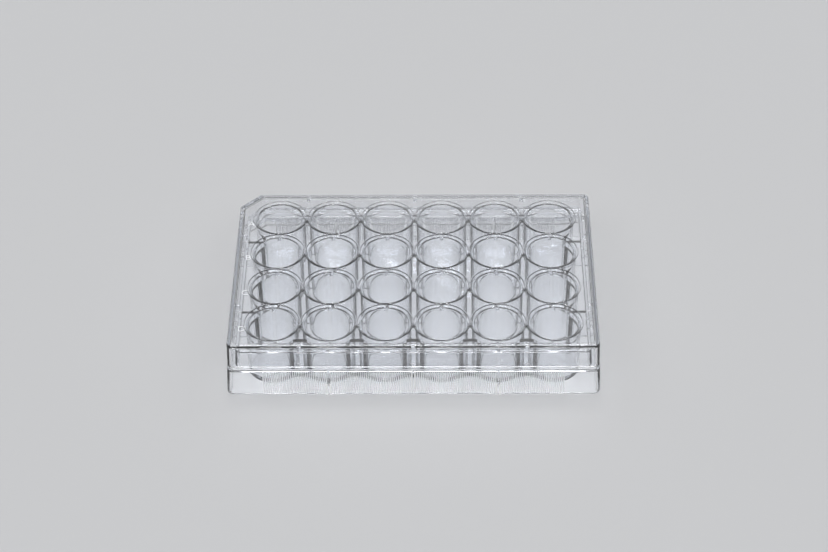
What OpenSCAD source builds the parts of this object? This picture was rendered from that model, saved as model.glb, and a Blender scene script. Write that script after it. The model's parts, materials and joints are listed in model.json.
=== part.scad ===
// Twenty-four well culture plate with its lid on, in clear polystyrene.
// Millimetres. The origin is on the bench under the middle of the plate, X runs along the
// six columns, Y points to row A at the back, and Z is up.

/* [Plate outline] */
// Length of the skirt at the bench
plate_length = 127.76; // [127:0.01:136]
// Width of the skirt at the bench
plate_width = 85.48; // [85:0.01:94]
// Plan radius of the outer corners at the bench
corner_radius = 2.5; // [2.4:0.1:4]
// Leg of the 45 degree corner at well A1, at the bench
notch_leg = 7.4; // [5:0.1:9]
// Lean of the skirt's outside, in degrees
skirt_draft_angle = 2.4; // [0.5:0.1:3]
// Height of the ledge round the plate
ledge_height = 10.4; // [8:0.1:12]
// Thickness of the ledge
ledge_thickness = 1.2; // [0.8:0.1:1.8]
// Thickness of the skirt's wall
skirt_wall = 1.3; // [0.9:0.1:1.5]

/* [Upper frame] */
// Width of the ledge, from its outer edge to the frame
ledge_width = 2.7; // [2.4:0.05:3]
// Lean of the frame's outside, in degrees
frame_draft_angle = 3; // [0.5:0.1:4]
// Plan radius of the frame's corners
frame_radius = 2.2; // [2:0.1:4]
// Thickness of the frame's wall
frame_wall = 1.1; // [0.8:0.1:1.3]
// Height of the deck between the frame and the wells
deck_height = 16.9; // [15:0.1:17.5]
// Thickness of the deck
deck_thickness = 1.1; // [0.8:0.1:1.6]

/* [Wells] */
// Number of columns
column_count = 6; // [3:1:6]
// Number of rows
row_count = 4; // [2:1:4]
// Least gap between the outer wells and the inside of the frame
well_margin = 0.263; // [0.1:0.001:0.6]
// Gap between neighbouring wells
well_gap = 1.4; // [1:0.1:2.4]
// Thickness of a well's wall at the mouth
mouth_wall = 0.8; // [0.6:0.05:1.2]
// Thickness of a well's wall just above the floor
foot_wall = 1.15; // [0.8:0.05:1.5]
// Radius between a well's wall and its floor
floor_fillet = 0.5; // [0.3:0.1:1.5]
// Height of the well rims above the bench
rim_height = 19.4; // [18.6:0.1:20.5]
// Radius round the outside of each rim
rim_round = 0.25; // [0.1:0.05:0.3]
// Size of the 45 degree lead-in at each mouth
mouth_chamfer = 0.2; // [0.1:0.05:0.3]
// Height of the underside of the floor above the bench
floor_lift = 1.5; // [1:0.1:2.5]
// Thickness of the floor
floor_thickness = 1.27; // [0.9:0.01:1.8]

/* [Between the wells] */
// Radius of the hollow curve that joins two outer wells
scallop_radius = 7.6; // [7:0.1:9]
// Thickness of the wall along that curve
scallop_wall = 1; // [0.8:0.1:1.3]
// Thickness of the webs between neighbouring wells
web_thickness = 1.2; // [0.8:0.1:1.8]
// How far the top of a web lies below the rims
web_drop = 1.4; // [0.8:0.1:2]
// Thickness of the ribs from the wells to the skirt at both ends
end_rib_thickness = 1.2; // [0.8:0.1:1.8]
// Height of the lower edge of those ribs
end_rib_lift = 5; // [3:0.1:8]

/* [Skirt details] */
// Width of the bar up the middle of each long side
bar_width = 1.3; // [0.8:0.1:3]
// Height of the lower end of that bar
bar_lift = 2.7; // [1:0.1:5]
// Width of the two pads at the foot of each long side
pad_width = 2; // [1:0.1:5]
// Height of those pads
pad_height = 4.6; // [2:0.1:7]
// How far the bar and the pads stand out past the foot of the skirt
detail_stand = 0.1; // [0.05:0.01:0.2]
// Length of the ribbed grip on each long side
grip_length = 103; // [60:1:110]
// Distance between neighbouring grip ribs
grip_pitch = 0.72; // [0.6:0.02:1.5]
// Depth of the grooves between the grip ribs
grip_depth = 0.15; // [0.05:0.01:0.25]
// Plain stretch left above and below the grip
grip_margin = 0.5; // [0.3:0.1:2]

/* [Lid] */
// How far the foot of the lid stays inside the edge of the ledge
lid_setback = 0.2; // [0.1:0.05:0.4]
// Gap between the ledge and the foot of the lid
lid_gap = 1.2; // [0.6:0.1:2]
// Lean of the lid's side walls, in degrees
lid_draft_angle = 1.4; // [0.5:0.1:2]
// Thickness of the lid's side walls
lid_wall = 1.2; // [0.9:0.1:1.4]
// Thickness of the lid's flat top
lid_panel = 1; // [0.7:0.1:1.6]
// Gap between the well rims and the flat top
rim_clearance = 0.2; // [0.1:0.05:0.6]
// Height of the stacking rim
stack_rim_height = 0.5; // [0.3:0.1:1]
// Width of the stacking rim
stack_rim_width = 1.8; // [1.2:0.1:2.6]
// Size of the 45 degree edge round the top of the lid
lid_chamfer = 0.4; // [0.2:0.1:0.8]
// Plan radius of the corners inside the stacking rim
stack_corner_radius = 1.2; // [0.5:0.1:3]
// Width of the raised ring on top of the lid over each well
ring_width = 0.5; // [0.5:0.1:1]
// Height of that ring
ring_height = 0.3; // [0.2:0.1:0.5]
// How far each ring reaches past the middle between two wells, into its neighbour
ring_merge = 0.15; // [0.1:0.05:0.2]
// Width of the ribs that rest on the deck
rest_rib_width = 1.3; // [0.8:0.1:2]
// How far a rest rib reaches in over the deck
rest_rib_overlap = 0.7; // [0.4:0.1:0.9]
// Gap between the lower part of a rest rib and the frame
rest_rib_clearance = 0.3; // [0.2:0.05:0.5]

/* [Hidden] */

$fn = 96;
clear_plastic = [0.90, 0.93, 0.96, 0.45];
lid_plastic = [0.86, 0.90, 0.95, 0.35];
over = 1;        // overshoot of every cutting solid
root = 0.3;      // how far a small feature runs into the wall that carries it
cusp_trim = 0.1; // what is left off where two touching curves would meet in a cusp
grip_land = 0.25; // flat top of a grip rib, as a share of the pitch

// A distance gained by a leaning face, to the micrometre, so that flat and round faces
// of one block meet, and what is left of a 45 degree leg when an outline is drawn in
function inset(angle, height) = round(1000 * height * tan(angle)) / 1000;
function leg_inside(leg, offset_by) = leg - offset_by * (2 - sqrt(2));

// Skirt and ledge
skirt_inset = inset(skirt_draft_angle, ledge_height);
ledge_length = plate_length - 2 * skirt_inset;
ledge_outline_width = plate_width - 2 * skirt_inset;
ledge_leg = leg_inside(notch_leg, skirt_inset);
ledge_underside = ledge_height - ledge_thickness;

// Frame and deck
frame_length = ledge_length - 2 * ledge_width;
frame_width = ledge_outline_width - 2 * ledge_width;
frame_leg = leg_inside(ledge_leg, ledge_width);
deck_inset = inset(frame_draft_angle, deck_height - ledge_height);
deck_underside = deck_height - deck_thickness;

// Wells, as large as the frame leaves room for both ways
inside_length = frame_length - 2 * (deck_inset + frame_wall);
inside_width = frame_width - 2 * (deck_inset + frame_wall);
function pitch_within(inside, count) = (inside - 2 * well_margin + well_gap) / count;
well_pitch = min(pitch_within(inside_length, column_count),
                 pitch_within(inside_width, row_count));
well_outside = well_pitch - well_gap;
function column_x(i) = (i - (column_count - 1) / 2) * well_pitch;
function row_y(j) = (j - (row_count - 1) / 2) * well_pitch;
last_x = column_x(column_count - 1);
last_y = row_y(row_count - 1);
outside_r = well_outside / 2;
mouth_r = outside_r - mouth_wall;
floor_r = outside_r - foot_wall;
floor_top = floor_lift + floor_thickness;
web_top = rim_height - web_drop;

// Lid
lid_foot = ledge_height + lid_gap;
lid_underside = rim_height + rim_clearance;
panel_top = lid_underside + lid_panel;
lid_top = panel_top + stack_rim_height;
lid_length = ledge_length - 2 * lid_setback;
lid_width = ledge_outline_width - 2 * lid_setback;
lid_radius = corner_radius - skirt_inset;
lid_leg = leg_inside(ledge_leg, lid_setback);
lid_top_inset = inset(lid_draft_angle, lid_top - lid_foot);
ring_r = well_pitch / 2 + ring_merge;

// A bar along X whose section is a trapezium, wider at the bottom
module leaning_bar(length, half_bottom, half_top, height) {
    translate([-length / 2, 0, 0])
        rotate([90, 0, 90])
            linear_extrude(length)
                polygon([
                    [-half_bottom, 0], [half_bottom, 0],
                    [half_top, height], [-half_top, height]
                ]);
}

// A block from bottom to top with leaning sides, round corners and one 45 degree corner
// at the back left. Length, width, radius and leg are given at the height called level.
module leaning_block(level, bottom, top, length, width, draft, radius, leg) {
    height = top - bottom;
    grow = inset(draft, level - bottom);
    in = inset(draft, height);
    a = length / 2 + grow;
    b = width / 2 + grow;
    r = radius + grow;
    corner_leg = leg_inside(leg, -grow);
    translate([0, 0, bottom])
        difference() {
            union() {
                leaning_bar(2 * (a - r), b, b - in, height);
                rotate(90)
                    leaning_bar(2 * (b - r), a, a - in, height);
                for (sx = [-1, 1], sy = [-1, 1])
                    translate([sx * (a - r), sy * (b - r), 0])
                        cylinder(h = height, r1 = r, r2 = r - in);
            }
            translate([corner_leg / 2 - a, b - corner_leg / 2, 0])
                rotate(45)
                    rotate([draft, 0, 0])
                        translate([-corner_leg, 0, -corner_leg])
                            cube([2 * corner_leg, corner_leg, height + 2 * corner_leg]);
        }
}

module slab(bottom, top) {
    translate([0, 0, bottom])
        linear_extrude(top - bottom) children();
}

module at_wells() {
    for (i = [0 : column_count - 1], j = [0 : row_count - 1])
        translate([column_x(i), row_y(j)]) children();
}

// Plan of the bridge between two outer wells, with a hollow curve on its +Y side
module scallop(well_r, hollow_r) {
    half = well_pitch / 2;
    reach = well_r + hollow_r;
    drop = sqrt(reach * reach - half * half);
    bridge = well_r * drop / reach - cusp_trim;
    difference() {
        translate([-half, 0])
            square([2 * half, bridge]);
        translate([0, drop])
            circle(hollow_r);
    }
}

// Plan of the whole group of wells, with its scalloped edge drawn in by offset_by
module cluster_plan(offset_by) {
    well_r = outside_r - offset_by;
    hollow_r = scallop_radius + offset_by;
    square([2 * last_x, 2 * last_y], center = true);
    at_wells() circle(well_r);
    for (turn = [0, 180], i = [0 : column_count - 2])
        rotate(turn)
            translate([column_x(i) + well_pitch / 2, last_y])
                scallop(well_r, hollow_r);
    for (turn = [90, 270], j = [0 : row_count - 2])
        rotate(turn)
            translate([row_y(j) + well_pitch / 2, last_x])
                scallop(well_r, hollow_r);
}

// Webs that tie each well to its neighbours
module web_plan() {
    for (j = [0 : row_count - 1])
        translate([0, row_y(j)])
            square([2 * last_x, web_thickness], center = true);
    for (i = [0 : column_count - 1])
        translate([column_x(i), 0])
            square([web_thickness, 2 * last_y], center = true);
}

// The open spaces between the wells, which reach down to the floor
module moat_plan() {
    difference() {
        cluster_plan(scallop_wall);
        at_wells() circle(outside_r);
        web_plan();
    }
}

// The upper part of one well's wall, solid, with a round edge to its rim
module well_tube(bottom) {
    height = rim_height - bottom;
    translate([0, 0, bottom])
        rotate_extrude() {
            square([outside_r, height - rim_round]);
            square([outside_r - rim_round, height]);
            intersection() {
                translate([outside_r - rim_round, height - rim_round]) circle(rim_round);
                square([outside_r, height]);
            }
        }
}

// The hollow of one well: a slightly tapered bore with a filleted floor and a lead-in
module well_bore() {
    depth = rim_height - floor_top;
    slope = (mouth_r - floor_r) / (depth - floor_fillet);
    translate([0, 0, floor_top])
        rotate_extrude() {
            polygon([
                [0, floor_fillet], [floor_r, floor_fillet],
                [mouth_r - slope * mouth_chamfer, depth - mouth_chamfer],
                [mouth_r + mouth_chamfer, depth],
                [mouth_r + mouth_chamfer, depth + over], [0, depth + over]
            ]);
            square([floor_r - floor_fillet, 2 * floor_fillet]);
            intersection() {
                translate([floor_r - floor_fillet, floor_fillet]) circle(floor_fillet);
                square([floor_r, floor_fillet]);
            }
        }
}

module skirt_and_frame() {
    difference() {
        union() {
            leaning_block(0, 0, ledge_height, plate_length, plate_width, skirt_draft_angle,
                          corner_radius, notch_leg);
            leaning_block(ledge_height, ledge_height, deck_height, frame_length,
                          frame_width, frame_draft_angle, frame_radius, frame_leg);
        }
        leaning_block(0, -over, ledge_underside, plate_length - 2 * skirt_wall,
                      plate_width - 2 * skirt_wall, skirt_draft_angle,
                      corner_radius - skirt_wall, leg_inside(notch_leg, skirt_wall));
        leaning_block(ledge_height, ledge_underside - over, deck_underside,
                      frame_length - 2 * frame_wall, frame_width - 2 * frame_wall,
                      frame_draft_angle, frame_radius - frame_wall,
                      leg_inside(frame_leg, frame_wall));
    }
}

// Upright ribs under the deck, from the group of wells to the skirt, between the outer
// pairs of rows
module end_ribs() {
    reach = outside_r + scallop_radius;
    crest = sqrt(reach * reach - well_pitch * well_pitch / 4) - scallop_radius;
    start = last_x + crest - scallop_wall / 2;
    frame_end = frame_length / 2 - deck_inset - frame_wall / 2;
    skirt_end = ledge_length / 2 - skirt_wall / 2;
    for (sx = [-1, 1], sy = [-1, 1])
        scale([sx, sy, 1])
            translate([start, last_y - well_pitch / 2 - end_rib_thickness / 2, end_rib_lift]) {
                cube([frame_end - start, end_rib_thickness,
                      deck_height - deck_thickness / 2 - end_rib_lift]);
                cube([skirt_end - start, end_rib_thickness,
                      ledge_height - ledge_thickness / 2 - end_rib_lift]);
            }
}

// A bar up the middle of each long side, and a pad at its foot below the second and the
// last but one column
module skirt_details() {
    inner = plate_width / 2 - skirt_wall;
    outer = plate_width / 2 + detail_stand;
    for (turn = [0, 180])
        rotate(turn) {
            translate([-bar_width / 2, inner, bar_lift])
                cube([bar_width, outer - inner, ledge_height - bar_lift]);
            for (x = [column_x(1), column_x(column_count - 2)])
                translate([x - pad_width / 2, inner, 0])
                    cube([pad_width, outer - inner, pad_height]);
        }
}

// A comb that cuts the grooves between the grip ribs into the leaning +Y side. Its teeth
// start outside the side, so that each rib keeps a flat top.
module grip_comb() {
    count = floor(grip_length / grip_pitch);
    gum = grip_depth * grip_land / (1 - grip_land);
    translate([0, plate_width / 2, 0])
        rotate([skirt_draft_angle, 0, 0])
            slab(grip_margin, ledge_height - grip_margin)
                polygon([
                    for (k = [0 : 2 * count])
                        [(k - count) / 2 * grip_pitch, k % 2 == 0 ? gum : -grip_depth],
                    [count / 2 * grip_pitch, over], [-count / 2 * grip_pitch, over]
                ]);
}

module well_plate_base() {
    color(clear_plastic)
        difference() {
            union() {
                difference() {
                    skirt_and_frame();
                    for (turn = [0, 180])
                        rotate(turn) grip_comb();
                }
                end_ribs();
                skirt_details();
                slab(floor_lift, deck_height) cluster_plan(0);
                slab(deck_height - root, web_top) web_plan();
                at_wells() well_tube(deck_height - root);
            }
            slab(floor_top, deck_height + over) moat_plan();
            at_wells() well_bore();
        }
}

// One rib inside the +Y wall of the lid. Its foot rests on the deck.
module rest_rib(lid_half, frame_half) {
    outer = lid_half - lid_top_inset - lid_wall / 2;
    beside_frame = frame_half + rest_rib_clearance;
    over_deck = frame_half - deck_inset - rest_rib_overlap;
    translate([rest_rib_width / 2, 0, 0])
        rotate([90, 0, -90])
            linear_extrude(rest_rib_width)
                polygon([
                    [-outer, lid_foot + over], [-beside_frame, lid_foot + over],
                    [-beside_frame, deck_height], [-over_deck, deck_height],
                    [-over_deck, lid_underside + root], [-outer, lid_underside + root]
                ]);
}

module rest_ribs() {
    for (turn = [0, 180])
        rotate(turn)
            for (x = [column_x(0) + well_pitch / 2, 0, column_x(column_count - 1) - well_pitch / 2])
                translate([x, 0, 0]) rest_rib(lid_width / 2, frame_width / 2);
    for (turn = [90, 270])
        rotate(turn)
            for (y = [row_y(0) + well_pitch / 2, row_y(row_count - 1) - well_pitch / 2])
                translate([y, 0, 0]) rest_rib(lid_length / 2, frame_length / 2);
}

// The outer form of the lid, with a 45 degree edge round its top
module lid_block() {
    edge_level = lid_top - lid_chamfer;
    edge_inset = inset(lid_draft_angle, edge_level - lid_foot);
    leaning_block(lid_foot, lid_foot, edge_level, lid_length, lid_width, lid_draft_angle,
                  lid_radius, lid_leg);
    leaning_block(edge_level, edge_level, lid_top, lid_length - 2 * edge_inset,
                  lid_width - 2 * edge_inset, 45, lid_radius - edge_inset,
                  leg_inside(lid_leg, edge_inset));
}

module lid() {
    color(lid_plastic) {
        difference() {
            lid_block();
            leaning_block(lid_foot, lid_foot - over, lid_underside,
                          lid_length - 2 * lid_wall, lid_width - 2 * lid_wall, lid_draft_angle,
                          lid_radius - lid_wall, leg_inside(lid_leg, lid_wall));
            leaning_block(lid_top, panel_top, lid_top + over,
                          lid_length - 2 * (lid_top_inset + stack_rim_width),
                          lid_width - 2 * (lid_top_inset + stack_rim_width), 0,
                          stack_corner_radius,
                          leg_inside(lid_leg, lid_top_inset + stack_rim_width));
        }
        slab(panel_top - root, panel_top + ring_height)
            at_wells()
                difference() {
                    circle(ring_r);
                    circle(ring_r - ring_width);
                }
        rest_ribs();
    }
}

well_plate_base();
lid();
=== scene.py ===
"""A 24-well culture plate with its loose lid on, in clear polystyrene, on a pale table.

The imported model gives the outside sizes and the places. Both mouldings are made again here
with round edges and smooth walls, because light bends through every face of a clear part.
Lengths are in millimetres until they go into a mesh.
"""

import json
import math

import bmesh
import bpy
from mathutils import Matrix, Vector

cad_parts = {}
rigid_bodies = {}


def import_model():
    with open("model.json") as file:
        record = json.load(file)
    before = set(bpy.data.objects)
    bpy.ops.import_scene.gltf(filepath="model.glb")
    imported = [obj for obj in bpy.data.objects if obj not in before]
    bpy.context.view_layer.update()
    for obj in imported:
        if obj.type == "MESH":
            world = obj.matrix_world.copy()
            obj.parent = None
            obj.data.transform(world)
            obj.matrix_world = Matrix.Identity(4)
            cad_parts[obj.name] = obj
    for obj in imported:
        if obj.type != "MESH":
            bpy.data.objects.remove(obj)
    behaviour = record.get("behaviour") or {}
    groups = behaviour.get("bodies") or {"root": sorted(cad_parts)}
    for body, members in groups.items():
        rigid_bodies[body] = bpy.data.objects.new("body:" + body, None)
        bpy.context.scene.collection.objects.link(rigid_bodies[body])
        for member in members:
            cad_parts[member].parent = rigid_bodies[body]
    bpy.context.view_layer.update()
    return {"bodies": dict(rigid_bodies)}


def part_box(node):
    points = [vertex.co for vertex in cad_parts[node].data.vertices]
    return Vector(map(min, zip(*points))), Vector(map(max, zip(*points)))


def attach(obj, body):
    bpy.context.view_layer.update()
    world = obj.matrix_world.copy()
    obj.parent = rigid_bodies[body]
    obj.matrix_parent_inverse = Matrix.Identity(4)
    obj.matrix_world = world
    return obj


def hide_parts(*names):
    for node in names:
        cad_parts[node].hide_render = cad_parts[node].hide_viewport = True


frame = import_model()

MM = 0.001
BODY = next(iter(frame["bodies"]))
plate_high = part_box("well_plate_base")[1] / MM
lid_low, lid_high = [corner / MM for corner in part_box("lid")]

# ---- Plate, from the frame and the moulding's own sizes ----
DETAIL_STAND = 0.1      # the bar and the pads stand out past the foot of the skirt
CUT_LEG = 7.4           # leg of the 45 degree corner at well A1, at the foot
CUT_SOFTNESS = 0.5      # radius of the two blunt edges that it has
CORNER_RADIUS = 2.5     # plan radius of the skirt's corners at the foot
LEDGE_RADIUS = 2.06     # the same at the edge of the ledge, and at the lid's foot over it
FRAME_RADIUS = 2.2      # plan radius of the frame's corners at the ledge
SKIRT_DRAFT = math.radians(2.4)
SKIRT_WALL = 1.3
LEDGE_HEIGHT = 10.4
LEDGE_THICKNESS = 1.2
LEDGE_WIDTH = 2.7
FRAME_DRAFT = math.radians(3)
FRAME_WALL = 1.1
DECK_HEIGHT = 16.9
DECK_THICKNESS = 1.1
plate_half_length = plate_high.x
plate_half_width = plate_high.y - DETAIL_STAND
rim_height = plate_high.z

# ---- Wells ----
COLUMNS, ROWS = 6, 4
PITCH = 19.3
WELL_OUTSIDE = 17.9
MOUTH_WALL = 0.8
FOOT_WALL = 1.15
FLOOR_FILLET = 0.5
FLOOR_LIFT = 1.5
FLOOR_THICKNESS = 1.27
SCALLOP_RADIUS = 7.6
SCALLOP_WALL = 1.0
WEB_THICKNESS = 1.2
WEB_DROP = 1.4
outside_radius = WELL_OUTSIDE / 2
mouth_radius = outside_radius - MOUTH_WALL
foot_radius = outside_radius - FOOT_WALL
floor_top = FLOOR_LIFT + FLOOR_THICKNESS
last_x = (COLUMNS - 1) / 2 * PITCH
last_y = (ROWS - 1) / 2 * PITCH

# ---- Grip, bar and pads on the long sides, ribs under the deck, and row letters ----
GRIP_PITCH = 0.72
GRIP_LENGTH = 103
GRIP_DEPTH = 0.25
GRIP_LAND = 0.25        # flat top of a grip rib, as a share of the pitch
GRIP_MARGIN = 0.5       # plain stretch above and below the grip
GROOVE_SPAN = 0.46      # reach of a groove's cutter to each side, as a share of the pitch
GROOVE_OVERSHOOT = 0.6  # how far that cutter stands out of the skirt
BAR_WIDTH, BAR_LIFT = 1.3, 2.7
PAD_WIDTH, PAD_HEIGHT = 2.0, 4.6
DETAIL_ROOT = 0.8       # share of the skirt's wall that the bar and the pads run into
STRIP_LAP = 1           # how far the smooth strip over a pad runs down behind it
END_RIB_THICKNESS, SIDE_RIB_THICKNESS, RIB_LIFT = 1.2, 1.0, 5.0
LETTER_SIZE, LETTER_RISE = 3.9, 0.3
LETTER_INSET = 5.0      # from the foot of the skirt to the middle of a letter

# ---- Lid ----
LID_DRAFT = math.radians(1.4)
LID_WALL = 1.2
LID_PANEL = 1.0
LID_SETBACK = 0.2
STACK_RIM_HEIGHT = 0.5
STACK_RIM_WIDTH = 1.8
RING_WIDTH = 0.5
RING_HEIGHT = 0.3
RING_MERGE = 0.15       # how far each ring reaches past the middle between two wells
REST_RIB_WIDTH = 1.3
REST_RIB_OVERLAP = 0.7
REST_RIB_CLEARANCE = 0.3
REST_RIB_LIFT = 1       # from the lid's foot to the lower end of a rest rib
REST_RIB_ROOT = 0.7     # share of the lid's wall that a rest rib leaves free outside it
SEAT_GAP = 0.02         # air left under the rest ribs, so that the mouldings share no face
lid_half_length, lid_half_width = lid_high.x, lid_high.y
lid_foot, lid_top = lid_low.z, lid_high.z
panel_top = lid_top - STACK_RIM_HEIGHT
panel_underside = panel_top - LID_PANEL

# ---- Finish: pairs are the lowest and the highest value, or the two ends of a fade ----
REFRACTION = 1.59
POLISH, POLISH_GRAIN = (0.012, 0.04), 60.0     # roughness, and how fine it varies per metre
CLEARNESS, HAZE_GRAIN = (1.0, 0.99), 25.0      # share of the light that isn't scattered
WAVE_HEIGHT, WAVE_GRAIN = 0.4, 90.0            # waviness of a moulded wall
PLATE_TINT, PLATE_WAVE = (0.985, 0.99, 1.0), 0.06
LID_TINT, LID_WAVE = (0.98, 0.985, 1.0), 0.04
SHADOW, SHADOW_BLEND = (0.95, 0.45), 0.35      # light let through head on, and along a wall
DEPTH_COLOUR = (0.80, 0.83, 0.87)
DEPTH_DENSITY = 50.0    # how fast the plastic takes on that colour, per metre
CRISP_ANGLE = 30        # degrees between two faces from which the edge between them is sharp

# ---- Painted highlight and sheen: parts of the plate made rough and white ----
SATIN_ROUGHNESS = 0.45
GROOVE_PAINTED_SHEEN = 0.15      # white in the grooves of the grip: a painted sheen for the bright lines of side light
BLOCK_PAINTED_HIGHLIGHT = 0.95      # white on the edges of the bar and the pads: painted highlights for their bright edges
LETTER_PAINTED_HIGHLIGHT = 0.5      # white on the row letters: a painted highlight
BLOCK_CLEAR = 0.22      # half the width of the clear stripe between the painted highlights down the bar and the pads
BLOCK_PROUD = (0.03, 0.08)      # how far out of the skirt the bar and the pads turn white with painted highlight
GROOVE_SHEEN_START = (0.02, 0.12)     # depth at which a groove turns rough and white with painted sheen
GROOVE_END = (0.5, 0.4)         # depth at which the painted sheen ends again
LEDGE_POLISH = (0.3, 0.2)       # how far below the ledge the grooves' painted sheen ends
LETTER_HIGHLIGHT_RISE = (0.1, 0.2)       # how far above the deck a letter turns white with painted highlight
PAINTED_FADE = 0.1                # width of the other fades

# ---- Light: strengths on the world, and where each box begins and ends in a unit vector ----
SIDE_BOX, BACK_BOX, FRONT_BOX, TOP_BOX, ROOM = 1.1, 0.6, 2.8, 11.0, 0.15
BOX_FOOT, BOX_TOP = (0.42, 0.52), (0.74, 0.85)              # upwards
SIDE_FROM = (0.3, 0.45)                                     # sideways
BACK_FROM, FRONT_FROM = (0.5, 0.65), (-0.35, -0.5)          # backwards
TOP_AIM, TOP_RADIUS, TOP_FADE = (0.0, 0.45, 0.9), 10, 2     # a direction, degrees round it

# ---- Table and camera ----
TABLE_REACH = 3.0       # half its width, in metres
TABLE_COLOUR = (0.62, 0.626, 0.64)
TABLE_ROUGHNESS, TABLE_GLOSS = 0.6, 0.3
CAMERA_PLACE = (9.8, -635.9, 541.9)
ELEVATION, AZIMUTH, ROLL = 39.526, -0.885, -0.702   # degrees
SENSOR_WIDTH, LENS = 36.0, 102.04
CAMERA_RANGE = 20       # metres

# ---- Fineness of the meshes ----
WELL_STEPS = 96         # faces round a well
CORNER_STEPS = 10       # faces round a quarter turn in plan
EDGE_STEPS = 4          # faces across a rounded edge
FILLET_STEPS = 8        # faces across the round corner of a well's floor
CLUSTER_STEP = 5        # degrees to a face round the group of wells
LETTER_STEPS = 3        # fineness of the curves in a letter
LEAST_RADIUS = 0.05     # smallest plan radius that a corner may shrink to
SUPPORT = 0.25          # strip beside a rounded edge that keeps the flat next to it flat
SKIN = 0.02             # hair's breadth by which one body covers another that it swallows
OVERSHOOT = 1           # how far a cutter runs past what it cuts


def leg_inside(leg, inset):
    """What is left of a 45 degree corner's leg when the outline is drawn in."""
    return leg - inset * (2 - math.sqrt(2))


def arc(x, y, radius, start, turn, steps):
    """Points along an arc. Angles are in degrees, and a negative turn runs clockwise."""
    angles = [math.radians(start + turn * k / steps) for k in range(steps + 1)]
    return [(x + radius * math.cos(a), y + radius * math.sin(a)) for a in angles]


def circle(radius):
    return arc(0, 0, radius, 0, 360, WELL_STEPS)[:-1]


def plate_outline(half_length, half_width, radius, leg):
    """Plan outline with three round corners and the cut one at the back left."""
    a, b, r, soft = half_length, half_width, max(radius, LEAST_RADIUS), CUT_SOFTNESS
    slip = soft * (math.sqrt(2) - 1)
    corners = [
        (a - r, r - b, r, -90, 90),
        (a - r, b - r, r, 0, 90),
        (leg - a + slip, b - soft, soft, 90, 45),
        (soft - a, b - leg - slip, soft, 135, 45),
        (r - a, r - b, r, 180, 90),
    ]
    points = []
    for x, y, bend, start, turn in corners:
        curve = arc(x, y, bend, start, turn, CORNER_STEPS * turn // 90)
        for (px, py), angle, way in ((curve[0], start, -1), (curve[-1], start + turn, 1)):
            along = math.radians(angle + 90)
            extra = (px + way * SUPPORT * math.cos(along), py + way * SUPPORT * math.sin(along))
            curve.insert(0 if way < 0 else len(curve), extra)
        points += curve
    return points


def cluster_outline(inset):
    """Outline of the whole group of wells: a bulge round each outer well, and a hollow curve
    between every two of them."""
    well, hollow = outside_radius + SKIN - inset, SCALLOP_RADIUS - SKIN + inset
    reach = well + hollow
    swing = math.degrees(math.asin(PITCH / 2 / reach))
    drop = math.sqrt(reach ** 2 - (PITCH / 2) ** 2)
    points = []
    for facing, count, out in ((-90, COLUMNS, last_y), (0, ROWS, last_x),
                               (90, COLUMNS, last_y), (180, ROWS, last_x)):
        turned = Matrix.Rotation(math.radians(facing), 2)
        for k in range(count):
            beside = (k - (count - 1) / 2) * PITCH
            if k > 0:
                x, y = turned @ Vector((out, beside))
                turn = 2 * swing + (90 if k == count - 1 else 0)
                points += arc(x, y, well, facing - swing, turn, round(turn / CLUSTER_STEP))[1:]
            if k < count - 1:
                x, y = turned @ Vector((out + drop, beside + PITCH / 2))
                points += arc(x, y, hollow, facing + 180 + swing, -2 * swing,
                              round(2 * swing / CLUSTER_STEP))[1:]
    return points


def rounded(section):
    """A section with its corners rounded. Each corner is (inset, height, plan radius,
    rounding), and each point that comes back is (inset, height, plan radius)."""
    points = [section[0][:3]]
    for before, here, after in zip(section, section[1:], section[2:]):
        corner, rounding = Vector(here[:2]), here[3]
        ways = [Vector(side[:2]) - corner for side in (before, after)]
        lengths = [way.length for way in ways]
        ways = [way.normalized() for way in ways]
        half = ways[0].angle(ways[1]) / 2
        reach = rounding / math.tan(half)
        centre = corner + (ways[0] + ways[1]).normalized() * rounding / math.sin(half)
        spokes = [corner + way * reach - centre for way in ways]

        def beside(side, towards):
            share = (reach + SUPPORT) / lengths[side]
            point = corner + ways[side] * (reach + SUPPORT)
            return (point.x, point.y, here[2] + (towards[2] - here[2]) * share)

        if lengths[0] > reach + 3 * SUPPORT:
            points.append(beside(0, before))
        for k in range(EDGE_STEPS + 1):
            share = k / EDGE_STEPS
            x, y = centre + spokes[0].slerp(spokes[1], share) * rounding
            points.append((x, y, here[2] - (x - here[0])))
        if lengths[1] > reach + 3 * SUPPORT:
            points.append(beside(1, after))
    return points + [section[-1][:3]]


def new_object(name, bm):
    mesh = bpy.data.meshes.new(name)
    bmesh.ops.recalc_face_normals(bm, faces=bm.faces)
    bmesh.ops.scale(bm, vec=(MM, MM, MM), verts=bm.verts)
    bm.to_mesh(mesh)
    bm.free()
    mesh.shade_smooth()
    made = bpy.data.objects.new(name, mesh)
    bpy.context.scene.collection.objects.link(made)
    return made


def loft(name, loops, ring=False):
    """A closed body through a stack of loops, each a list of points and a height. The ends
    are capped, or joined to each other for a ring."""
    bm = bmesh.new()
    rows = [[bm.verts.new((x, y, z)) for x, y in points] for points, z in loops]
    for low, high in zip(rows, rows[1:] + rows[:1] if ring else rows[1:]):
        for k in range(len(low)):
            bm.faces.new((low[k - 1], low[k], high[k], high[k - 1]))
    if not ring:
        bm.faces.new(rows[0])
        bm.faces.new(rows[-1])
    return new_object(name, bm)


def shell(name, half_length, half_width, leg, section):
    """A thin-walled body: its section, from the middle of the top down the outside and up
    the inside again, run round the plate's outline."""
    return loft(name, [
        (plate_outline(half_length - inset, half_width - inset, radius, leg_inside(leg, inset)), z)
        for inset, z, radius in rounded(section)])


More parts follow.
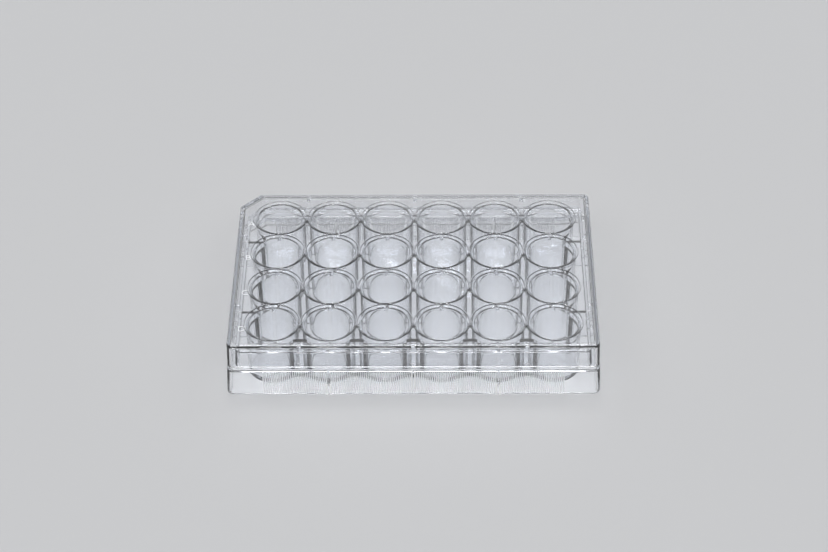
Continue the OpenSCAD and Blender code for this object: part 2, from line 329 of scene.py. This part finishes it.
def split_at_wells(body):
    """Cuts a body's faces along every row and column, so that no flat face keeps many holes."""
    bm = bmesh.new()
    bm.from_mesh(body.data)
    for count, normal in ((COLUMNS, Vector((1, 0, 0))), (ROWS, Vector((0, 1, 0)))):
        for k in range(count):
            bmesh.ops.bisect_plane(
                bm, geom=bm.verts[:] + bm.edges[:] + bm.faces[:], plane_no=normal,
                plane_co=normal * (k - (count - 1) / 2) * PITCH * MM)
    bm.to_mesh(body.data)
    bm.free()
    return body


def prisms(name, pieces):
    """Straight prisms in one object. Each is an outline, its thickness along X, and the
    matrix that puts it in place."""
    bm = bmesh.new()
    for points, thickness, place in pieces:
        sides = [[bm.verts.new(place @ Vector((x, y, z))) for y, z in points]
                 for x in (-thickness / 2, thickness / 2)]
        for k in range(len(points)):
            bm.faces.new((sides[0][k - 1], sides[0][k], sides[1][k], sides[1][k - 1]))
        bm.faces.new(sides[0])
        bm.faces.new(sides[1])
    return new_object(name, bm)


def rectangle(low_y, low_z, high_y, high_z):
    return [(low_y, low_z), (high_y, low_z), (high_y, high_z), (low_y, high_z)]


# ---- The plate's bodies ----
def skirt_and_frame():
    ledge_underside = LEDGE_HEIGHT - LEDGE_THICKNESS
    deck_underside = DECK_HEIGHT - DECK_THICKNESS
    skirt_top = LEDGE_HEIGHT * math.tan(SKIRT_DRAFT)
    frame_foot = skirt_top + LEDGE_WIDTH

    def frame_at(height):
        return frame_foot + (height - LEDGE_HEIGHT) * math.tan(FRAME_DRAFT)

    deck_edge = frame_at(DECK_HEIGHT)
    inner_edge = frame_at(deck_underside) + FRAME_WALL
    skirt_inner = SKIRT_WALL + ledge_underside * math.tan(SKIRT_DRAFT)
    flat = 1.5      # strip of the deck before the face that closes it
    return shell("skirt_and_frame", plate_half_length, plate_half_width, CUT_LEG, [
        # inset, height, plan radius, rounding
        (deck_edge + flat, DECK_HEIGHT, 0.4, 0),
        (deck_edge, DECK_HEIGHT, 1.9, 0.3),
        (frame_foot, LEDGE_HEIGHT, FRAME_RADIUS, 0.25),
        (skirt_top, LEDGE_HEIGHT, LEDGE_RADIUS, 0.25),
        (0, 0, CORNER_RADIUS, 0.2),
        (SKIRT_WALL, 0, CORNER_RADIUS - SKIRT_WALL, 0.2),
        (skirt_inner, ledge_underside, 0.8, 0.3),
        (frame_at(ledge_underside) + FRAME_WALL, ledge_underside, FRAME_RADIUS - FRAME_WALL, 0.2),
        (inner_edge, deck_underside, 0.8, 0.2),
        (inner_edge + flat, deck_underside, 0.2, 0),
    ])


def well_block():
    """The group of wells as one solid, up to the middle of the deck, with a round edge below."""
    edge = 0.3
    bottom = [(cluster_outline(edge + y), FLOOR_LIFT + edge + z)
              for y, z in arc(0, 0, edge, -90, -90, EDGE_STEPS)]
    return loft("well_block", bottom + [(cluster_outline(0), DECK_HEIGHT - DECK_THICKNESS / 2)])


def open_space():
    """What is hollow between the wells, above the floor sheet."""
    return loft("open_space", [
        (cluster_outline(SCALLOP_WALL), z) for z in (floor_top, rim_height + OVERSHOOT)])


def well_tube():
    """The wall of one well, still solid, with a round edge to its rim."""
    edge = 0.25
    curve = arc(outside_radius - edge, rim_height - edge, edge, 0, 90, EDGE_STEPS)
    profile = [(outside_radius, FLOOR_LIFT + FLOOR_THICKNESS / 2),
               (outside_radius, rim_height - edge - SUPPORT)] + curve
    return loft("well_tube", [(circle(r), z) for r, z in profile])


def well_bore():
    """The hollow of one well: a slightly tapered bore with a round corner at its floor."""
    edge = 0.2
    taper = 0.005   # what the bore widens by over one support strip
    fillet = arc(foot_radius - FLOOR_FILLET, floor_top + FLOOR_FILLET, FLOOR_FILLET, -90, 90,
                 FILLET_STEPS)
    mouth = arc(mouth_radius + edge, rim_height - edge + SKIN, edge, 180, -90, EDGE_STEPS)
    profile = [(foot_radius - FLOOR_FILLET - SUPPORT, floor_top)] + fillet
    profile += [(foot_radius + taper, floor_top + FLOOR_FILLET + SUPPORT),
                (mouth_radius - taper, rim_height - edge - SUPPORT)] + mouth
    profile += [(mouth_radius + edge, rim_height + OVERSHOOT)]
    return loft("well_bore", [(circle(r), z) for r, z in profile])


def rib_outline(start, plate_half):
    """A rib under the deck, seen from its side: from the wells to the skirt's wall."""
    skirt_end = plate_half - SKIRT_WALL / 2 - LEDGE_HEIGHT * math.tan(SKIRT_DRAFT)
    frame_end = skirt_end - LEDGE_WIDTH - FRAME_WALL / 2 + SKIRT_WALL / 2
    ledge, deck = LEDGE_HEIGHT - LEDGE_THICKNESS / 2, DECK_HEIGHT - DECK_THICKNESS / 2
    return [(start, RIB_LIFT), (skirt_end, RIB_LIFT), (skirt_end, ledge), (frame_end, ledge),
            (frame_end, deck), (start, deck)]


def ribs_and_pads():
    """The ribs under the deck on all four sides, and the bar and pads on both long sides. The
    grip stops at a smooth strip over each pad."""
    reach = outside_radius + SCALLOP_RADIUS
    crest = math.sqrt(reach ** 2 - (PITCH / 2) ** 2) - SCALLOP_RADIUS
    end_rib = rib_outline(last_x + crest - SCALLOP_WALL / 2, plate_half_length)
    side_rib = rib_outline(last_y + outside_radius - MOUTH_WALL / 2, plate_half_width)
    inner, outer = plate_half_width - SKIRT_WALL * DETAIL_ROOT, plate_high.y
    face, lean = plate_half_width - SKIN, math.tan(SKIRT_DRAFT)
    strip_foot, strip_top = PAD_HEIGHT - STRIP_LAP, LEDGE_HEIGHT - GRIP_MARGIN + SKIN
    strip = [(inner, strip_foot), (face - strip_foot * lean, strip_foot),
             (face - strip_top * lean, strip_top), (inner, strip_top)]
    pieces = []
    for turn in (0, 180):
        turned = Matrix.Rotation(math.radians(turn), 4, "Z")
        quarter = Matrix.Rotation(math.radians(turn - 90), 4, "Z")
        for y in (-last_y + PITCH / 2, last_y - PITCH / 2):
            pieces.append((end_rib, END_RIB_THICKNESS, quarter @ Matrix.Translation((y, 0, 0))))
        pieces.append((rectangle(inner, BAR_LIFT, outer, LEDGE_HEIGHT - SKIN), BAR_WIDTH, turned))
        for x in (-last_x + PITCH, last_x - PITCH):
            place = turned @ Matrix.Translation((x, 0, 0))
            pieces.append((rectangle(inner, SKIN, outer, PAD_HEIGHT), PAD_WIDTH, place))
            pieces.append((strip, SIDE_RIB_THICKNESS + 2 * SKIN, place))
            pieces.append((side_rib, SIDE_RIB_THICKNESS, place))
    return prisms("ribs_and_pads", pieces)


def row_letters():
    """A raised letter on the deck in front of each row, A at the back."""
    bm = bmesh.new()
    for row in range(ROWS):
        words = bpy.data.curves.new("row_letter", "FONT")
        words.body = chr(ord("A") + row)
        words.align_x, words.align_y = "CENTER", "CENTER"
        words.size, words.extrude = LETTER_SIZE, (LETTER_RISE + DECK_THICKNESS / 2) / 2
        words.resolution_u = LETTER_STEPS
        source = bpy.data.objects.new("row_letter", words)
        letter = bpy.data.meshes.new_from_object(source)
        place = (LETTER_INSET - plate_half_length, last_y - row * PITCH,
                 DECK_HEIGHT + LETTER_RISE - words.extrude)
        letter.transform(Matrix.Translation(place))
        bm.from_mesh(letter)
        bpy.data.objects.remove(source)
    bmesh.ops.remove_doubles(bm, verts=bm.verts, dist=0.001)
    return new_object("row_letters", bm)


def grip_groove():
    """The cutter for one groove of the grip, on the back side."""
    mouth = GRIP_PITCH / 2 * (1 - GRIP_LAND)
    wide = GRIP_PITCH * GROOVE_SPAN
    side = GRIP_DEPTH / mouth * wide - GRIP_DEPTH
    plan = [(0, -GRIP_DEPTH), (wide, side), (wide, GROOVE_OVERSHOOT), (-wide, GROOVE_OVERSHOOT),
            (-wide, side)]
    lean = math.tan(SKIRT_DRAFT)
    return loft("grip_groove", [
        ([(x, plate_half_width - z * lean + y) for x, y in plan], z)
        for z in (GRIP_MARGIN, LEDGE_HEIGHT - GRIP_MARGIN)])


# ---- The lid's bodies ----
def lid_shell():
    """The lid's flat top with its stacking rim, and its walls."""
    top_inset = (lid_top - lid_foot) * math.tan(LID_DRAFT)
    step = top_inset + STACK_RIM_WIDTH
    under_inset = LID_WALL + (panel_underside - lid_foot) * math.tan(LID_DRAFT)
    leg = leg_inside(CUT_LEG, LEDGE_HEIGHT * math.tan(SKIRT_DRAFT) + LID_SETBACK)
    flat = 2        # strip of the flat top before the face that closes it
    return shell("lid_shell", lid_half_length, lid_half_width, leg, [
        # inset, height, plan radius, rounding
        (step + flat, panel_top, 0.3, 0),
        (step, panel_top, 1.0, 0.12),
        (step, lid_top, 1.2, 0.15),
        (top_inset, lid_top, 1.83, 0.45),
        (0, lid_foot, LEDGE_RADIUS, 0.2),
        (LID_WALL, lid_foot, LEDGE_RADIUS - LID_WALL, 0.2),
        (under_inset, panel_underside, 0.67, 0.4),
        (under_inset + flat, panel_underside, 0.1, 0),
    ])


def lid_ring():
    """The raised ring on top of the lid over one well, which runs into its neighbours."""
    outer, edge = PITCH / 2 + RING_MERGE, 0.15
    inner, crest, root = outer - RING_WIDTH, panel_top + RING_HEIGHT, panel_top - LID_PANEL / 2
    section = [(outer, root)] + arc(outer - edge, crest - edge, edge, 0, 90, EDGE_STEPS)
    section += arc(inner + edge, crest - edge, edge, 90, 90, EDGE_STEPS) + [(inner, root)]
    return loft("lid_ring", [(circle(r), z) for r, z in section], ring=True)


def rest_ribs():
    """The ribs inside the lid's walls whose feet rest on the deck."""
    ledge_inset = LEDGE_HEIGHT * math.tan(SKIRT_DRAFT)
    deck_inset = (DECK_HEIGHT - LEDGE_HEIGHT) * math.tan(FRAME_DRAFT)
    foot, roof = DECK_HEIGHT + SEAT_GAP, panel_underside + LID_PANEL / 2
    lower = lid_foot + REST_RIB_LIFT
    pieces = []
    for turn, plate_half, lid_half, places in (
            (0, plate_half_width, lid_half_width, (-2 * PITCH, 0, 2 * PITCH)),
            (180, plate_half_width, lid_half_width, (-2 * PITCH, 0, 2 * PITCH)),
            (90, plate_half_length, lid_half_length, (-PITCH, PITCH)),
            (270, plate_half_length, lid_half_length, (-PITCH, PITCH))):
        frame_half = plate_half - ledge_inset - LEDGE_WIDTH
        outer = lid_half - LID_WALL * REST_RIB_ROOT
        beside = frame_half + REST_RIB_CLEARANCE
        inner = frame_half - deck_inset - REST_RIB_OVERLAP
        side = [(outer, lower), (outer, roof), (inner, roof), (inner, foot), (beside, foot),
                (beside, lower)]
        turned = Matrix.Rotation(math.radians(turn), 4, "Z")
        pieces += [(side, REST_RIB_WIDTH, turned @ Matrix.Translation((x, 0, 0))) for x in places]
    return prisms("rest_ribs", pieces)


# ---- Geometry Nodes ----
class Recipe:
    """A Geometry Nodes tree: its named inputs, then its steps, then its result."""

    def __init__(self, name, inputs):
        self.tree = bpy.data.node_groups.new(name, "GeometryNodeTree")
        self.sockets = {}
        for label, kind in [("Geometry", "Geometry"), *inputs.items(), ("Material", "Material")]:
            self.sockets[label] = self.tree.interface.new_socket(
                label, in_out="INPUT", socket_type="NodeSocket" + kind)
        self.tree.interface.new_socket(
            "Geometry", in_out="OUTPUT", socket_type="NodeSocketGeometry")
        self.given = self.tree.nodes.new("NodeGroupInput").outputs

    def step(self, kind, inputs, **settings):
        """Adds a node and returns its first output. Inputs go by name or number, and hold a
        value, another step's output, or a list of outputs."""
        node = self.tree.nodes.new(kind)
        for setting, value in settings.items():
            setattr(node, setting, value)
        for key, value in inputs.items():
            for source in value if isinstance(value, list) else [value]:
                if isinstance(source, bpy.types.NodeSocket):
                    self.tree.links.new(source, node.inputs[key])
                else:
                    node.inputs[key].default_value = source
        return node.outputs[0]

    def math(self, operation, a, b):
        return self.step("ShaderNodeMath", {0: a, 1: b}, operation=operation)

    def vector(self, x, y, z):
        return self.step("ShaderNodeCombineXYZ", {"X": x, "Y": y, "Z": z})

    def body(self, label):
        """The mesh of the object that an input names."""
        node = self.step("GeometryNodeObjectInfo", {"Object": self.given[label]}).node
        return node.outputs["Geometry"]

    def instances(self, points, item):
        return self.step("GeometryNodeInstanceOnPoints", {"Points": points, "Instance": item})

    def copies(self, points, item):
        return self.step("GeometryNodeRealizeInstances", {"Geometry": self.instances(points, item)})

    def well_points(self):
        """One point for each well."""
        spans = [self.math("MULTIPLY", self.given["Pitch"],
                           self.math("SUBTRACT", self.given[label], 1.0))
                 for label in ("Columns", "Rows")]
        return self.step("GeometryNodeMeshGrid", {
            "Size X": spans[0], "Size Y": spans[1],
            "Vertices X": self.given["Columns"], "Vertices Y": self.given["Rows"]})

    def line(self, count, pitch, along):
        """Points in a row about the middle, along (x, y)."""
        span = self.math("MULTIPLY", pitch, self.math("SUBTRACT", count, 1.0))
        half = self.math("MULTIPLY", span, -0.5)
        ends = [self.vector(self.math("MULTIPLY", size, along[0]),
                            self.math("MULTIPLY", size, along[1]), 0.0)
                for size in (half, pitch)]
        return self.step("GeometryNodeMeshLine", {
            "Count": count, "Start Location": ends[0], "Offset": ends[1]},
            mode="OFFSET", count_mode="TOTAL")

    def join(self, bodies):
        return self.step("GeometryNodeMeshBoolean", {"Mesh 2": bodies},
                         operation="UNION", solver="MANIFOLD")

    def cut(self, body, cutters):
        return self.step("GeometryNodeMeshBoolean", {"Mesh 1": body, "Mesh 2": cutters},
                         operation="DIFFERENCE", solver="MANIFOLD")

    def finish(self, result):
        whole = self.step("GeometryNodeRealizeInstances", {"Geometry": result})
        coated = self.step("GeometryNodeSetMaterial", {
            "Geometry": whole, "Material": self.given["Material"]})
        self.tree.links.new(coated, self.tree.nodes.new("NodeGroupOutput").inputs[0])

    def make(self, name, start, values):
        """Runs the tree on an object and returns the result as a plain mesh object."""
        modifier = start.modifiers.new(name, "NODES")
        modifier.node_group = self.tree
        for label, value in values.items():
            modifier[self.sockets[label].identifier] = value
        start.update_tag()
        depsgraph = bpy.context.evaluated_depsgraph_get()
        mesh = bpy.data.meshes.new_from_object(start.evaluated_get(depsgraph), depsgraph=depsgraph)
        start.modifiers.remove(modifier)
        mesh.name = name
        mesh.materials.clear()
        mesh.materials.append(values["Material"])
        made = bpy.data.objects.new(name, mesh)
        bpy.context.scene.collection.objects.link(made)
        return made


def plate_recipe():
    recipe = Recipe("plate_moulding", {
        "Well block": "Object", "Open space": "Object", "Well tube": "Object",
        "Well bore": "Object", "Ribs and pads": "Object", "Grip groove": "Object",
        "Row letters": "Object",
        "Columns": "Int", "Rows": "Int", "Pitch": "Float", "Web thickness": "Float",
        "Web foot": "Float", "Web top": "Float", "Grip count": "Int", "Grip pitch": "Float"})
    given = recipe.given
    skirt = recipe.step("GeometryNodeRealizeInstances", {"Geometry": given["Geometry"]})
    grooves = recipe.copies(recipe.line(given["Grip count"], given["Grip pitch"], (1.0, 0.0)),
                            recipe.body("Grip groove"))
    opposite = recipe.step("GeometryNodeTransform", {
        "Geometry": grooves, "Rotation": (0.0, 0.0, math.pi)})
    gripped = recipe.cut(skirt, [grooves, opposite])
    outside = recipe.join([gripped, recipe.body("Well block")])
    hollow = recipe.cut(outside, [recipe.body("Open space")])

    height = recipe.math("SUBTRACT", given["Web top"], given["Web foot"])
    middle = recipe.math("MULTIPLY", recipe.math("ADD", given["Web top"], given["Web foot"]), 0.5)
    webs = []
    for lengthwise, across, along in (("Columns", "Rows", (0.0, 1.0)),
                                      ("Rows", "Columns", (1.0, 0.0))):
        length = recipe.math("MULTIPLY", given["Pitch"],
                             recipe.math("SUBTRACT", given[lengthwise], 1.0))
        sizes = (length, given["Web thickness"], height)
        if lengthwise == "Rows":
            sizes = (given["Web thickness"], length, height)
        bar = recipe.step("GeometryNodeMeshCube", {"Size": recipe.vector(*sizes)})
        lifted = recipe.step("GeometryNodeTransform", {
            "Geometry": bar, "Translation": recipe.vector(0.0, 0.0, middle)})
        webs.append(recipe.copies(recipe.line(given[across], given["Pitch"], along), lifted))

    wells = recipe.well_points()
    filled = recipe.join([hollow, recipe.copies(wells, recipe.body("Well tube")), *webs,
                          recipe.body("Ribs and pads"), recipe.body("Row letters")])
    recipe.finish(recipe.cut(filled, [recipe.copies(wells, recipe.body("Well bore"))]))
    return recipe


def lid_recipe():
    recipe = Recipe("lid_moulding", {
        "Ring": "Object", "Rest ribs": "Object", "Columns": "Int", "Rows": "Int",
        "Pitch": "Float"})
    rings = recipe.instances(recipe.well_points(), recipe.body("Ring"))
    recipe.finish(recipe.join([recipe.given["Geometry"], rings, recipe.body("Rest ribs")]))
    return recipe


# ---- Finishes ----
class Wiring:
    """Adds nodes to a material's or the world's tree and ties them together."""

    def __init__(self, tree):
        self.tree = tree
        self.tree.nodes.clear()

    def add(self, kind, inputs=(), **settings):
        """Adds a node and returns its outputs. Inputs hold a value or another node's output."""
        node = self.tree.nodes.new(kind)
        for setting, value in settings.items():
            setattr(node, setting, value)
        for key, value in dict(inputs).items():
            if isinstance(value, bpy.types.NodeSocket):
                self.tree.links.new(value, node.inputs[key])
            else:
                node.inputs[key].default_value = value
        return node.outputs

    def math(self, operation, a, b=0.0, c=0.0):
        return self.add("ShaderNodeMath", {0: a, 1: b, 2: c}, operation=operation)[0]

    def ramp(self, value, start, end, low, high):
        """Runs from low to high while the value runs from start to end."""
        return self.add("ShaderNodeMapRange", {
            "Value": value, "From Min": start, "From Max": end, "To Min": low, "To Max": high},
            interpolation_type="SMOOTHSTEP")[0]

    def noise(self, place, scale, detail=1.0):
        return self.add("ShaderNodeTexNoise", {
            "Vector": place, "Scale": scale, "Detail": detail})["Fac"]

    def parts(self, vector):
        return list(self.add("ShaderNodeSeparateXYZ", {0: vector}))


def painted_highlight_parts(wiring, place):
    """How white and rough the plate's surface is made: painted sheen in the grooves of the grip,
    painted highlights on the bar and the pads and on the row letters. The rest is polished."""
    x, y, z = wiring.parts(place)
    beside = wiring.math("ABSOLUTE", x)
    leaning = wiring.math("MULTIPLY_ADD", z, math.tan(SKIRT_DRAFT), wiring.math("ABSOLUTE", y))

    def fade(value, level, steps, low, high):
        """Runs from low to high between two steps, in millimetres from a level."""
        return wiring.ramp(value, *[(level + step) * MM for step in steps], low, high)

    face, grip_end = plate_half_width, GRIP_LENGTH / 2
    # Painted sheen: the grooves of the grip turn rough and white.
    groove = fade(leaning, face, [-depth for depth in GROOVE_SHEEN_START], 0.0, GROOVE_PAINTED_SHEEN)
    skin = fade(leaning, face, [-depth for depth in GROOVE_END], 0.0, 1.0)
    below = fade(z, LEDGE_HEIGHT, [-depth for depth in LEDGE_POLISH], 1.0, 0.0)
    grooves = wiring.math("MULTIPLY", groove, wiring.math("MULTIPLY", skin, below))

    # Painted highlights: the bar and the pads turn white beside a clear middle stripe.
    proud = fade(leaning, face, BLOCK_PROUD, 0.0, BLOCK_PAINTED_HIGHLIGHT)
    from_pad = wiring.math("ABSOLUTE", wiring.math("SUBTRACT", beside, (last_x - PITCH) * MM))
    from_stripe = wiring.math("MINIMUM", beside, from_pad)
    edge = fade(from_stripe, BLOCK_CLEAR, (0, PAINTED_FADE), 0.0, 1.0)
    grip = wiring.math("MAXIMUM", wiring.math("MULTIPLY", proud, edge), grooves)
    reach = fade(beside, grip_end, (0, PAINTED_FADE), 1.0, 0.0)

    # Painted highlight: the row letters turn white above the deck.
    raised = fade(z, DECK_HEIGHT, LETTER_HIGHLIGHT_RISE, 0.0, LETTER_PAINTED_HIGHLIGHT)
    left = fade(x, -(last_x + outside_radius), (-PAINTED_FADE, 0), 1.0, 0.0)
    letters = wiring.math("MULTIPLY", raised, left)
    return wiring.math("MAXIMUM", wiring.math("MULTIPLY", grip, reach), letters)


def clear_polystyrene(name, tint, wave, painted_mask=None):
    """Clear polystyrene: polished, with the faint waviness and haze of a moulded wall, and grey
    where one looks along a wall. Lamps shine through it to the table, less where it leans away."""
    material = bpy.data.materials.new(name)
    material.use_nodes = True
    wiring = Wiring(material.node_tree)
    place = wiring.add("ShaderNodeTexCoord")["Object"]
    roughness = wiring.ramp(wiring.noise(place, POLISH_GRAIN, 3.0), 0.35, 0.7, *POLISH)
    clear = wiring.ramp(wiring.noise(place, HAZE_GRAIN), 0.3, 0.7, *CLEARNESS)
    # Where a mask is given, those parts turn rough and white: painted highlight and painted sheen.
    if painted_mask:
        white = painted_mask(wiring, place)
        dull = wiring.ramp(white, 0.0, GROOVE_PAINTED_SHEEN, 0.0, SATIN_ROUGHNESS)
        roughness = wiring.math("MAXIMUM", roughness, dull)
        clear = wiring.math("SUBTRACT", clear, white)
    bump = wiring.add("ShaderNodeBump", {
        "Height": wiring.noise(place, WAVE_GRAIN), "Strength": wave,
        "Distance": WAVE_HEIGHT * MM})["Normal"]
    body = wiring.add("ShaderNodeBsdfPrincipled", {
        "Base Color": (*tint, 1), "Roughness": roughness, "IOR": REFRACTION,
        "Transmission Weight": clear, "Normal": bump})["BSDF"]
    facing = wiring.add("ShaderNodeLayerWeight", {"Blend": SHADOW_BLEND})["Facing"]
    through = wiring.add("ShaderNodeBsdfTransparent", {
        "Color": wiring.ramp(facing, 0.2, 1.0, *SHADOW)})["BSDF"]
    lamp_ray = wiring.add("ShaderNodeLightPath")["Is Shadow Ray"]
    surface = wiring.add("ShaderNodeMixShader", {0: lamp_ray, 1: body, 2: through})["Shader"]
    depth = wiring.add("ShaderNodeVolumeAbsorption", {
        "Color": (*DEPTH_COLOUR, 1), "Density": DEPTH_DENSITY})["Volume"]
    wiring.add("ShaderNodeOutputMaterial", {"Surface": surface, "Volume": depth})
    return material


# ---- Making the two mouldings ----
def discard(used):
    for body in used:
        bpy.data.objects.remove(body)


def finished(piece, node):
    """Smooth walls with crisp edges, tied to the frame in place of the node that it stands for."""
    piece.data.shade_smooth()
    piece.data.set_sharp_from_angle(angle=math.radians(CRISP_ANGLE))
    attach(piece, BODY)
    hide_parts(node)


def make_plate():
    plastic = clear_polystyrene("clear_polystyrene", PLATE_TINT, PLATE_WAVE, painted_highlight_parts)
    bodies = {"Well block": well_block(), "Open space": open_space(), "Well tube": well_tube(),
              "Well bore": well_bore(), "Ribs and pads": ribs_and_pads(),
              "Grip groove": grip_groove(), "Row letters": row_letters()}
    start = skirt_and_frame()
    values = {
        **bodies, "Columns": COLUMNS, "Rows": ROWS, "Pitch": PITCH * MM,
        "Web thickness": WEB_THICKNESS * MM, "Web foot": (FLOOR_LIFT + FLOOR_THICKNESS / 2) * MM,
        "Web top": (rim_height - WEB_DROP) * MM,
        "Grip count": math.floor(GRIP_LENGTH / GRIP_PITCH), "Grip pitch": GRIP_PITCH * MM,
        "Material": plastic}
    plate = plate_recipe().make("culture_plate", start, values)
    discard([start, *bodies.values()])
    finished(plate, "well_plate_base")


def make_lid():
    plastic = clear_polystyrene("clear_polystyrene_lid", LID_TINT, LID_WAVE)
    bodies = {"Ring": lid_ring(), "Rest ribs": rest_ribs()}
    start = split_at_wells(lid_shell())
    values = {**bodies, "Columns": COLUMNS, "Rows": ROWS, "Pitch": PITCH * MM,
              "Material": plastic}
    lid = lid_recipe().make("culture_plate_lid", start, values)
    discard([start, *bodies.values()])
    finished(lid, "lid")


# ---- Table, light and camera ----
def make_table():
    """A plain pale table."""
    bm = bmesh.new()
    bmesh.ops.create_grid(bm, x_segments=1, y_segments=1, size=TABLE_REACH)
    mesh = bpy.data.meshes.new("table")
    bm.to_mesh(mesh)
    bm.free()
    table = bpy.data.objects.new("table", mesh)
    bpy.context.scene.collection.objects.link(table)
    material = bpy.data.materials.new("pale_table")
    material.use_nodes = True
    surface = material.node_tree.nodes["Principled BSDF"]
    surface.inputs["Base Color"].default_value = (*TABLE_COLOUR, 1)
    surface.inputs["Roughness"].default_value = TABLE_ROUGHNESS
    surface.inputs["Specular IOR Level"].default_value = TABLE_GLOSS
    mesh.materials.append(material)


def light_studio():
    """A dim room with a tall soft box on every side, strongest in front and weakest behind, and a
    small bright one overhead, a little to the back. Directions are told by their parts across,
    back and up."""
    world = bpy.data.worlds.new("studio")
    world.use_nodes = True
    wiring = Wiring(world.node_tree)
    way = wiring.add("ShaderNodeTexCoord")["Generated"]
    across, back, up = wiring.parts(way)
    level = wiring.math("MULTIPLY", wiring.ramp(up, *BOX_FOOT, 0.0, 1.0),
                        wiring.ramp(up, *BOX_TOP, 1.0, 0.0))
    sides = wiring.ramp(wiring.math("ABSOLUTE", across), *SIDE_FROM, 0.0, SIDE_BOX)
    ends = wiring.math("ADD", wiring.ramp(back, *BACK_FROM, 0.0, BACK_BOX),
                       wiring.ramp(back, *FRONT_FROM, 0.0, FRONT_BOX))
    around = wiring.math("ADD", sides, ends)
    aim = Vector(TOP_AIM).normalized()
    towards = wiring.add("ShaderNodeVectorMath", {0: way, 1: aim}, operation="DOT_PRODUCT")["Value"]
    edge = [math.cos(math.radians(TOP_RADIUS + side)) for side in (TOP_FADE, -TOP_FADE)]
    above = wiring.math("ADD", wiring.ramp(towards, *edge, 0.0, TOP_BOX), ROOM)
    light = wiring.math("MULTIPLY_ADD", level, around, above)
    shine = wiring.add("ShaderNodeBackground", {"Strength": light})["Background"]
    wiring.add("ShaderNodeOutputWorld", {"Surface": shine})
    bpy.context.scene.world = world


def place_camera():
    """A long lens in front of the plate, looking down at it from well above."""
    elevation, azimuth, roll = [math.radians(angle) for angle in (ELEVATION, AZIMUTH, ROLL)]
    ahead = Vector((math.sin(azimuth) * math.cos(elevation),
                    math.cos(azimuth) * math.cos(elevation), -math.sin(elevation)))
    right = Vector((math.cos(azimuth), -math.sin(azimuth), 0))
    up = right.cross(ahead)
    level = Matrix((right, up, -ahead)).transposed()
    rolled = level @ Matrix.Rotation(roll, 3, "Z")
    camera = bpy.data.cameras.new("camera")
    camera.sensor_width, camera.lens = SENSOR_WIDTH, LENS
    camera.clip_end = CAMERA_RANGE
    view = bpy.data.objects.new("camera", camera)
    view.matrix_world = Matrix.Translation(Vector(CAMERA_PLACE) * MM) @ rolled.to_4x4()
    bpy.context.scene.collection.objects.link(view)
    bpy.context.scene.camera = view


make_plate()
make_lid()
make_table()
light_studio()
place_camera()

scene = bpy.context.scene
scene.view_settings.view_transform = "Standard"
scene.cycles.max_bounces = 40
scene.cycles.transmission_bounces = 36
scene.cycles.transparent_max_bounces = 48
